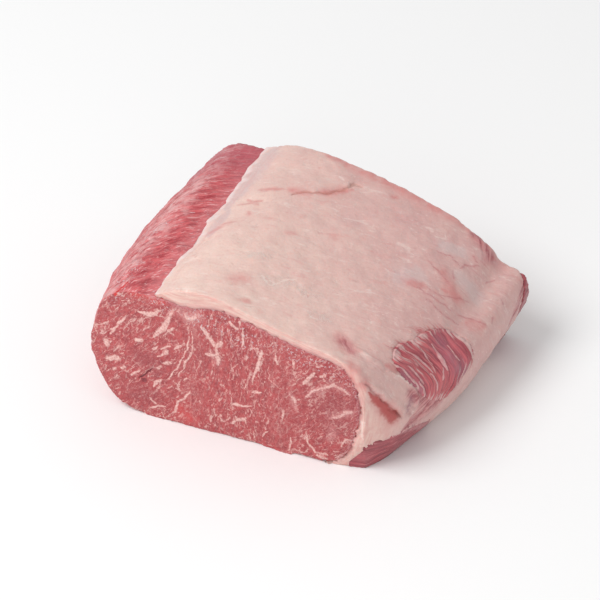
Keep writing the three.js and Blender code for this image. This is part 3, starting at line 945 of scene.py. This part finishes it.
def fat_material(colours):
    material, nodes, shader = new_material("Fat")
    place, x, y, z = nodes.place()
    attribute = nodes.attribute
    gap, cut = attribute("gap"), attribute("cut")
    broad, middle, small = (mottle(nodes, place, *form) for form in ((24.0, 2.4), (8.0, 2.4), (1.7, 2.6)))
    turned = nodes.turned(place, math.radians(-20), "Z_AXIS")
    wisps = nodes.stretched(turned, (13.0, 5.0, 9.0), 4.0, 0.62, 1.0)
    # Pinker and darker towards the far right: partly the fat's own pink, partly painted shade where less
    # light falls.
    pinker_and_shaded = (x + y * 0.7).step(-85.0, 120.0) * 0.8 + broad * 0.3
    strings = threads(nodes, y - x * 0.39, x - z, 1.7, 24.0, 5.0)
    right = x.step(30.0, 88.0) * middle.step(0.1, 0.7, 0.4, 1.0)
    # Pale flecks: partly flakes of white fat, partly painted highlights where the moist fat catches the
    # light.
    pale_flecks_and_highlights = nodes.stretched(turned, (2.6, 1.5, 2.0), 3.0, 0.65).step(0.60, 0.70)
    rows = threads(nodes, gap, x + z, 1.5, 16.0)
    blush = attribute("blush") * middle.step(0.0, 0.8, 0.35, 1.0)
    trace = attribute("vein")
    vein = ragged_group(nodes, trace, place, 2.4, 1.0, 0.45) * 0.36 + trace**0.35 * 0.2
    wedge = attribute("wedge") * threads(nodes, gap, y, 0.8, 26.0, 9.0).step(0.50, 0.62)
    rim = attribute("rim") * small.step(0.0, 0.6, 0.6, 1.0)
    ridge = abs(nodes.noise(place, 0.34, 4.0, 0.62, 1.2) - 0.5)
    flaky = ridge.step(0.030, 0.004) * attribute("flaky").step(0.1, 0.8)
    lines = abs(nodes.stretched(turned, (34.0, 16.0, 18.0), 4.0, 0.6, 1.4) - 0.5).step(0.010, 0.001)
    lines = lines * middle.step(0.45, 0.9)
    crease = ragged(nodes, "crease", place, 1.6, 1.1, 0.4)
    band = attribute("band") * small.step(0.0, 0.7, 0.6, 1.0)
    pleats = threads(nodes, z - y * 0.3, y, 1.5, 18.0, 11.0)
    dimple = attribute("dimple") * small.step(0.2, 0.8, 0.4, 1.0)
    stain = ragged(nodes, "stain", place, 3.4, 0.5, 0.5)
    muscle = 1.0 - frayed(nodes, attribute("across"), z, attribute("window"))
    base = nodes.mix(nodes.output(0, "Clamp", {0: pinker_and_shaded}), colours.fat, colours.fat_pink_and_shade)
    colour = nodes.paint(base, [
        (middle * 0.22, FAT_LIGHT),
        (small * 0.12, FAT_DUSKY),
        (wisps.step(0.54, 0.72) * 0.4, WISP_RED),
        (wisps.step(0.44, 0.28) * 0.4, WISP_PALE),
        (ragged(nodes, "skin", place, 7.0, 0.7, 0.4) * 0.9, colours.silverskin),
        (strings.step(0.56, 0.70) * right * 0.42, STRING_RED),
        (strings.step(0.42, 0.26) * right * 0.4, STRING_PALE),
        (pale_flecks_and_highlights * broad.step(0.2, 0.9, 0.12, 0.42), colours.fat_pale),
        (cut * 0.85, nodes.mix(rows.step(0.35, 0.68), CUT_FAT, CUT_FAT_ROWS)),
        (cut * gap.step(3.2, 0.0) * 0.6, FAT_BRIM),
        (blush * 0.7, colours.blush),
        (vein, colours.vein),
        (ragged(nodes, "pale", place, 1.5, 1.1, 0.3) * 0.45, colours.fat_pale),
        (wedge * 0.3, WEDGE_LAYERS),
        (rim * 0.85, RIM_GREY),
        (flaky * 0.65, colours.fat_pale),
        (lines * 0.35, FAINT_LINE),
        (crease * 0.36, CREASE_BROWN),
        # The folds' own red-purple, painted darker in the pleats' hollows: partly painted shade.
        (band**0.7 * 0.95, nodes.mix(pleats.step(0.40, 0.62), PLEAT_HOLLOW_SHADE, PLEAT_PINK)),
        (dimple * 0.8, DIMPLE_PURPLE),
        (stain * 0.94, nodes.mix(stain.step(0.4, 1.0), STAIN_EDGE, colours.blood)),
        (ragged(nodes, "core", place, 1.6, 1.0, 0.48) * 0.7, STAIN_CORE),
        (muscle * 0.85, nodes.mix(small, SHOWING_RED, SHOWING_PINK)),
    ])
    height = nodes.noise(place, 0.45, 4.0, 0.6, 0.4) * 0.8 + wisps * 0.5 - muscle * 0.4 - lines * 0.3
    height = height - crease * 0.8 + flaky * 0.35 + band * pleats * 1.5
    roughness = middle.step(0.0, 1.0, 0.40, 0.56)
    set_surface(nodes, shader, colour, roughness, height, (0.8, 0.4), FAT_GLOW, (0.06, 0.28))
    return material


FLANK_FAIR = (0.66, 0.32, 0.33)
FLANK_PATCH = (0.46, 0.10, 0.12)
FLANK_FILM = (0.70, 0.40, 0.40)


def flank_material(colours):
    material, nodes, shader = new_material("Dark flank muscle")
    place, _, y, _ = nodes.place()
    patches = mottle(nodes, place, 8.0, 2.4)
    colour, fibres = fibrous(nodes, nodes.attribute("across"), y, 10.0, colours.muscle_deep, colours.muscle,
                             FLANK_FAIR, patches * 0.6 + 0.25)
    colour = nodes.paint(colour, [
        (patches * 0.3, FLANK_PATCH),
        (ragged(nodes, "film", place, 3.0, 0.9, 0.35) * 0.6, FLANK_FILM),
    ])
    height = fibres + nodes.noise(place, 1.2, 3.0, 0.6) * 0.5
    roughness = patches.step(0.0, 1.0, 0.34, 0.5)
    set_surface(nodes, shader, colour, roughness, height, (0.7, 0.4), LEAN_GLOW, (0.12, 0.22))
    return material


STREAKY_FAIR = (0.72, 0.36, 0.37)
PURPLE = (0.34, 0.12, 0.17)
FINGER_PINK, FINGER_PALE = (0.66, 0.40, 0.385), (0.74, 0.50, 0.47)


def side_muscle_material(colours):
    material, nodes, shader = new_material("Streaky side muscle")
    place, _, _, z = nodes.place()
    across = nodes.attribute("across")
    patches = mottle(nodes, place, 7.0, 2.4)
    share = patches * 0.5 + nodes.attribute("film") * 0.6
    colour, fibres = fibrous(nodes, across, z, 15.0, colours.streaky_deep, colours.streaky, STREAKY_FAIR,
                             share)
    purple = nodes.attribute("purple") * patches.step(0.0, 0.7, 0.4, 1.0)
    fingers = frayed(nodes, across, z, nodes.attribute("fingers"))
    colour = nodes.paint(colour, [
        (purple * 0.6, PURPLE),
        (fingers * 0.92, nodes.mix(patches, FINGER_PINK, FINGER_PALE)),
    ])
    roughness = patches.step(0.0, 1.0, 0.34, 0.5)
    height = fibres + fingers * 0.4
    set_surface(nodes, shader, colour, roughness, height, (0.6, 0.4), LEAN_GLOW, (0.12, 0.22))
    return material


STRAND_PINK, STRAND_PALE = (0.58, 0.24, 0.25), (0.70, 0.42, 0.41)


def strand_material():
    material, nodes, shader = new_material("Strands of fat")
    place = nodes.place()[0]
    patches = mottle(nodes, place, 3.0, 2.6)
    colour = nodes.mix(patches, STRAND_PINK, STRAND_PALE)
    roughness = patches.step(0.0, 1.0, 0.35, 0.5)
    height = nodes.noise(place, 1.5)
    set_surface(nodes, shader, colour, roughness, height, (0.4, 0.15), STRAND_GLOW, (0.1, 0.25))
    return material


# ---------------------------------------------------------------- the pieces

FAN_STEPS = np.linspace(0, 1, 60)


def strip_across(places):
    """A value that stays the same along each fibre of the bare side."""
    x, y, z = places.T
    turn = np.arctan2(STRIP_CENTRE[0] - x, z - STRIP_CENTRE[1])
    share = np.clip((y - FRONT) / (BACK - FRONT), 0, 1)
    slopes = np.tan(np.radians(FAN[0] + (FAN[1] - FAN[0]) * FAN_STEPS))
    drift = np.cumsum((slopes[1:] + slopes[:-1]) / 2) * (BACK - FRONT) / (len(FAN_STEPS) - 1)
    return turn * STRIP_RADIUS + np.interp(share, FAN_STEPS, [0, *drift])


def side_across(places):
    """A value that stays the same along each fibre of the side muscle."""
    _, y, z = places.T
    bend = BEND * (1 - smoothstep(*STRAIGHT, y)) * np.maximum(z - BEND_HEIGHT, 0) ** 2
    return y + bend + SWEEP * np.maximum(SWEEP_HEIGHT - z, 0) ** 2


def neighbours(node):
    """The surfaces of the other packed nodes."""
    return [surface_of(obj) for name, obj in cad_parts.items() if name != node]


def finished(obj, node, material):
    """Says what a piece stands for and gives it its finish."""
    only(obj)
    bpy.ops.object.shade_smooth()
    obj.data.materials.append(material)
    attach(obj, "root")
    if node:
        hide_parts(node)


class MEAT_OT_lean(bpy.types.Operator):
    """Models the eye of lean with its marbled cut faces and the fibres of its bare side"""

    bl_idname = "meat.lean"
    bl_label = "Eye of lean"

    def execute(self, context):
        sizes, colours = context.scene.striploin_sizes, context.scene.striploin_colours
        others = neighbours("eye_of_lean")
        obj = base_mesh("eye_of_lean", "lean", sizes.lean_mesh, sizes.melting)
        subdivide(obj, lambda at, n: (np.abs(n[:, 1]) > CUT_FACE) | (at[:, 0] < BARE_FROM))
        subdivide(obj, lambda at, n: n[:, 1] < -CUT_FACE)
        round_off(obj, others, 5)
        places, normals = points_of(obj)
        gap = gaps_to(others, places)
        loose = wander(wander(places, 5.0, 1.3), 1.8, 0.5, 7.0)
        fleck = np.maximum(*(face_nearness(loose, normals, FACE_FAT, far=far) for far in (False, True)))
        deep = face_nearness(loose, normals, FACE_DEEP)
        cut = smoothstep(0.3, 0.8, np.abs(normals[:, 1]))
        bare = (1 - cut) * smoothstep(-40, -55, places[:, 0])
        across = strip_across(wander(places, 9.0, 2.2, 3.0))
        gash = nearness(loose, normals, [GASH])
        flow = np.stack([across, places[:, 1] * 0.12, places[:, 2] * 0.12], 1)
        fibres = ripple(flow, 2.4, 5.0) + 0.7 * ripple(flow, 6.0, 9.0)
        swell = ripple(places, (18, 26, 18), 2.0)
        grain = ripple(places, (1.6, 1.6, 3.0), 12.0)
        dents = ripple(places, 12, 20.0)
        face_relief = sizes.grain / MM * grain * 1.6 + 0.45 * dents + 0.14 * fleck - 1.1 * deep
        side_relief = sizes.fibre / MM * fibres * 1.4 + 1.3 * swell - 1.0 * gash
        heights = cut * face_relief + bare * side_relief * smoothstep(0, 12, places[:, 2])
        raise_surface(obj, heights * smoothstep(0.3, 3.0, gap))
        glint = face_nearness(places, normals, FACE_GLINTS)
        edge = smoothstep(-72, -86, places[:, 0] + 8 * ripple(places, 10, 30.0))
        edge *= 0.4 + 0.6 * smoothstep(70, 85, places[:, 2])
        store(obj, fleck=fleck, deep=deep, cut=cut, across=across, gap=np.minimum(gap, 30), gash=gash,
              bright=face_nearness(places, normals, FACE_BRIGHT),
              lobe=face_nearness(loose, normals, FACE_LOBE),
              veil=face_nearness(loose, normals, FACE_VEIL),
              glint=np.maximum(glint, 0.9 * nearness(places, normals, BARE_GLINTS)),
              film=edge * (1 - cut), far=smoothstep(25, 80, places[:, 1]) * bare)
        finished(obj, "eye_of_lean", lean_material(colours))
        return {"FINISHED"}


class MEAT_OT_fat_cap(bpy.types.Operator):
    """Models the fat cap with its crease, ridges, veins and stains"""

    bl_idname = "meat.fat_cap"
    bl_label = "Fat cap"

    def execute(self, context):
        sizes, colours = context.scene.striploin_sizes, context.scene.striploin_colours
        others = neighbours("fat_cap")
        lean, window = (surface_of(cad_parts[name]) for name in ("eye_of_lean", "side_muscle"))
        obj = base_mesh("fat_cap", "fat", sizes.fat_mesh, sizes.melting)
        subdivide(obj, lambda at, n: (gaps_to([lean], at) > 0.8) | (np.abs(n[:, 1]) > CUT_FACE))
        round_off(obj, others, 5)
        places = points_of(obj)[0]
        outside = smoothstep(0.5, 1.8, gaps_to(others, places))
        rim = np.interp(places[:, 1], (FRONT, BACK), RIM_ENDS)
        wave = np.interp(places[:, 1], *np.transpose(RIM_WAVE))
        places[:, 0] += wave * (1 - smoothstep(0, 22, places[:, 0] - rim))
        move_points(obj, places)
        places, normals = points_of(obj)
        loose = wander(wander(places, 6.0, 1.5), 2.0, 0.5, 7.0)
        cut = smoothstep(0.45, 0.8, np.abs(normals[:, 1]))
        heights = 1.0 * ripple(places, 30, 1.0) + 0.35 * ripple(places, 11, 4.0)
        heights += 0.07 * ripple(places, 4.5, 8.0)
        for height, marks in FAT_RELIEF:
            heights += height * nearness(loose, normals, marks)
        raise_surface(obj, heights * outside)
        sink_into(obj, others, 0.45)
        lip = nearness(places, normals, [(7, LIP_LINE)])
        depth = np.minimum(gaps_to([lean], places), 30)
        growth = 0.09 - 0.035 * smoothstep(-34, -14, places[:, 1]) * smoothstep(44, 58, places[:, 2])
        reach = 0.9 + growth * np.minimum(gaps_to([window], places), 20) + 0.35 * lip
        reach += 2 * (normals[:, 0] < 0.2)
        edge = smoothstep(-35, -45, places[:, 0]) * (1 - cut) * (normals[:, 2] > -0.3)
        store(obj, cut=cut, gap=depth, window=reach,
              across=side_across(wander(places, 8.0, 1.5)),
              flaky=nearness(places, normals, FAT_FLAKY),
              rim=edge * smoothstep(4.2, 2.2, gaps_to([lean], loose)),
              wedge=edge * smoothstep(8.5, 6.0, depth))
        store(obj, **{name: nearness(loose, normals, marks) for name, marks in FAT_MARKS.items()})
        finished(obj, "fat_cap", fat_material(colours))
        return {"FINISHED"}


class MEAT_OT_flank(bpy.types.Operator):
    """Models the dark flank muscle along the right foot"""

    bl_idname = "meat.flank"
    bl_label = "Flank muscle"

    def execute(self, context):
        sizes, colours = context.scene.striploin_sizes, context.scene.striploin_colours
        others = neighbours("flank_muscle")
        obj = base_mesh("flank_muscle", "flank", sizes.muscle_mesh, sizes.melting, keep=2.0)
        round_off(obj, others, 4)
        places, normals = points_of(obj)
        across = places[:, 2] * 1.2 - places[:, 1] * 0.15 + 2.0 * ripple(places, 14, 3.0)
        flow = np.stack([across, places[:, 1] * 0.1, places[:, 0] * 0.5], 1)
        relief = 0.5 * ripple(flow, 2.4, 6.0) + 0.7 * ripple(places, 12, 7.0)
        gap = gaps_to(others, places)
        sink_into(obj, others, 0.6)
        raise_from(obj, FLANK_CORE, places, normals, 0.7 + relief * smoothstep(0.4, 2.5, gap), 0.7)
        top = np.interp(places[:, 1] - FRONT, *FLANK_TOP)
        store(obj, across=across, film=smoothstep(-3, 0.5, places[:, 2] - top) * 0.5)
        finished(obj, "flank_muscle", flank_material(colours))
        return {"FINISHED"}


class MEAT_OT_side_muscle(bpy.types.Operator):
    """Models the streaky side muscle that shows in the window of the fat"""

    bl_idname = "meat.side_muscle"
    bl_label = "Side muscle"

    def execute(self, context):
        sizes, colours = context.scene.striploin_sizes, context.scene.striploin_colours
        others = neighbours("side_muscle")
        obj = base_mesh("side_muscle", "side", sizes.muscle_mesh, sizes.melting, keep=1.2)
        places, normals = points_of(obj)
        gap = gaps_to([surface_of(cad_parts["fat_cap"])], places)
        across = side_across(wander(places, 8.0, 1.5))
        flow = np.stack([across, places[:, 2] * 0.12, places[:, 0] * 0.2], 1)
        relief = 1.2 * ripple(flow, 3.0, 6.0) + 0.9 * ripple(flow, 7.0, 2.0)
        sink_into(obj, others, 0.7)
        raise_from(obj, SIDE_CORE, places, normals, 0.3 + relief * smoothstep(0.4, 3.0, gap), 0.6)
        fringe = smoothstep(-12, -34, places[:, 1]) * smoothstep(42, 56, places[:, 2])
        reach = 1 - 0.5 * nearness(places, normals, [(10, LIP_LINE)])
        store(obj, across=across, film=0.6 * smoothstep(-14, 6, places[:, 1]),
              purple=nearness(wander(places, 6.0, 1.5), normals, SIDE_PURPLE),
              fingers=reach * 0.9 * (1 - np.minimum(gap / (8 + 10 * fringe), 1)))
        finished(obj, "side_muscle", side_muscle_material(colours))
        return {"FINISHED"}


class MEAT_OT_strands(bpy.types.Operator):
    """Lays thin strands of fat along the fibres of the side muscle"""

    bl_idname = "meat.strands"
    bl_label = "Strands of fat"

    def execute(self, context):
        grounds = [surface_of(bpy.data.objects[name]) for name in ("side", "fat")]
        made = [lay_strand(grounds, width, line, number) for number, (width, line) in enumerate(STRANDS)]
        bpy.ops.object.select_all(action="DESELECT")
        for obj in made:
            obj.select_set(True)
        context.view_layer.objects.active = made[0]
        bpy.ops.object.join()
        strands = context.object
        strands.name = "side_strands"
        finished(strands, None, strand_material())
        return {"FINISHED"}


STRAND_STEPS = 22
STRAND_SIDES = 8
OUTSIDE = 150  # mm: an x beyond the block
STRAND_SUNK = 0.25  # mm of a strand's foot that lie in its ground
STRAND_WALL = 0.4 * MM


def lay_strand(grounds, width, line, number):
    """A flat tapering strand along [y, z] points on the outermost ground: a grid that is wrapped onto it."""
    line = np.array(line, float)
    runs = np.concatenate([[0], np.cumsum(np.linalg.norm(np.diff(line, axis=0), axis=1))])
    bpy.ops.object.select_all(action="DESELECT")
    bpy.ops.mesh.primitive_grid_add(x_subdivisions=STRAND_SIDES, y_subdivisions=STRAND_STEPS, size=1)
    obj = bpy.context.object
    for vertex in obj.data.vertices:
        side, share = vertex.co.x + 0.5, vertex.co.y + 0.5
        y, z = (np.interp(share * runs[-1], runs, line[:, axis]) for axis in (0, 1))
        y += 0.9 * noise.noise(Vector((share * 3, number * 3.7, 0)))
        swell = math.sin(math.pi * min(max(share, 0.01), 0.99)) ** 0.6
        half = width * 0.37 * swell * (1 + 0.5 * noise.noise(Vector((share * 6, number * 1.9, 4))))
        angle = math.pi * side
        start = Vector((OUTSIDE, y - half * math.cos(angle), z)) * MM
        hits = [ground.ray_cast(start, Vector((-1, 0, 0))) for ground in grounds]
        place, out = max((hit[:2] for hit in hits if hit[0]), key=lambda found: found[0].x)
        vertex.co = place + out * (half * (0.55 * math.sin(angle)) - STRAND_SUNK) * MM
    apply(obj, "SOLIDIFY", thickness=STRAND_WALL, offset=-1)
    return obj


# ---------------------------------------------------------------- the studio


def soft_light(name, place, aim, size, power):
    data = bpy.data.lights.new(name, "AREA")
    data.shape = "DISK"
    data.size = size
    data.energy = power
    obj = bpy.data.objects.new(name, data)
    bpy.context.scene.collection.objects.link(obj)
    obj.location = place
    obj.rotation_euler = (Vector(aim) - Vector(place)).to_track_quat("-Z", "Y").to_euler()


class MEAT_OT_studio(bpy.types.Operator):
    """Sets the pale floor, the soft light and the camera"""

    bl_idname = "meat.studio"
    bl_label = "Studio"

    def execute(self, context):
        scene, studio = context.scene, context.scene.striploin_studio
        scene.view_settings.view_transform = "Standard"
        bpy.ops.object.select_all(action="DESELECT")
        bpy.ops.mesh.primitive_plane_add(size=12)
        floor = context.object
        floor.name = "floor"
        material, _, shader = new_material("Pale floor")
        shader.inputs["Base Color"].default_value = (0.93, 0.93, 0.93, 1)
        shader.inputs["Roughness"].default_value = 0.9
        shader.inputs["Specular IOR Level"].default_value = 0.1
        floor.data.materials.append(material)
        world = bpy.data.worlds.new("Studio")
        world.use_nodes = True
        background = world.node_tree.nodes["Background"]
        background.inputs["Color"].default_value = (1, 1, 1, 1)
        background.inputs["Strength"].default_value = studio.daylight
        scene.world = world
        soft_light("Key", (-1.26, -1.35, 2.34), (0, 0, 0.04), 1.8, studio.key)
        soft_light("Fill", (0.35, -1.3, 0.55), (0, -0.05, 0.04), 0.8, studio.fill)
        turn, rise = studio.azimuth, studio.elevation
        back = Vector((math.sin(turn), -math.cos(turn), 0)) * math.cos(rise) + Vector((0, 0, math.sin(rise)))
        data = bpy.data.cameras.new("Camera")
        data.lens = studio.lens
        data.sensor_width = 36
        camera = bpy.data.objects.new("Camera", data)
        scene.collection.objects.link(camera)
        camera.location = Vector(studio.target) + back * studio.distance
        camera.rotation_euler = back.to_track_quat("Z", "Y").to_euler()
        scene.camera = camera
        return {"FINISHED"}


class MEAT_PT_panel(bpy.types.Panel):
    """Lists what makes up the striploin"""

    bl_label = "Striploin"
    bl_space_type = "VIEW_3D"
    bl_region_type = "UI"
    bl_category = "Striploin"

    def draw(self, context):
        for operator in OPERATORS:
            self.layout.operator(operator.bl_idname)
        for group in SETTINGS:
            settings = getattr(context.scene, group)
            for name in settings.bl_rna.properties.keys():
                if name not in ("rna_type", "name"):
                    self.layout.prop(settings, name)


OPERATORS = (MEAT_OT_studio, MEAT_OT_lean, MEAT_OT_fat_cap, MEAT_OT_flank, MEAT_OT_side_muscle,
             MEAT_OT_strands)
SETTINGS = {
    "striploin_colours": StriploinColours,
    "striploin_sizes": StriploinSizes,
    "striploin_studio": StriploinStudio,
}


def register():
    for name, group in SETTINGS.items():
        bpy.utils.register_class(group)
        setattr(bpy.types.Scene, name, PointerProperty(type=group))
    for cls in (*OPERATORS, MEAT_PT_panel):
        bpy.utils.register_class(cls)


def unregister():
    for cls in (MEAT_PT_panel, *reversed(OPERATORS)):
        bpy.utils.unregister_class(cls)
    for name, group in SETTINGS.items():
        delattr(bpy.types.Scene, name)
        bpy.utils.unregister_class(group)


def main():
    register()
    bpy.ops.meat.studio()
    bpy.ops.meat.lean()
    bpy.ops.meat.fat_cap()
    bpy.ops.meat.flank()
    bpy.ops.meat.side_muscle()
    bpy.ops.meat.strands()


if __name__ == "__main__":
    main()
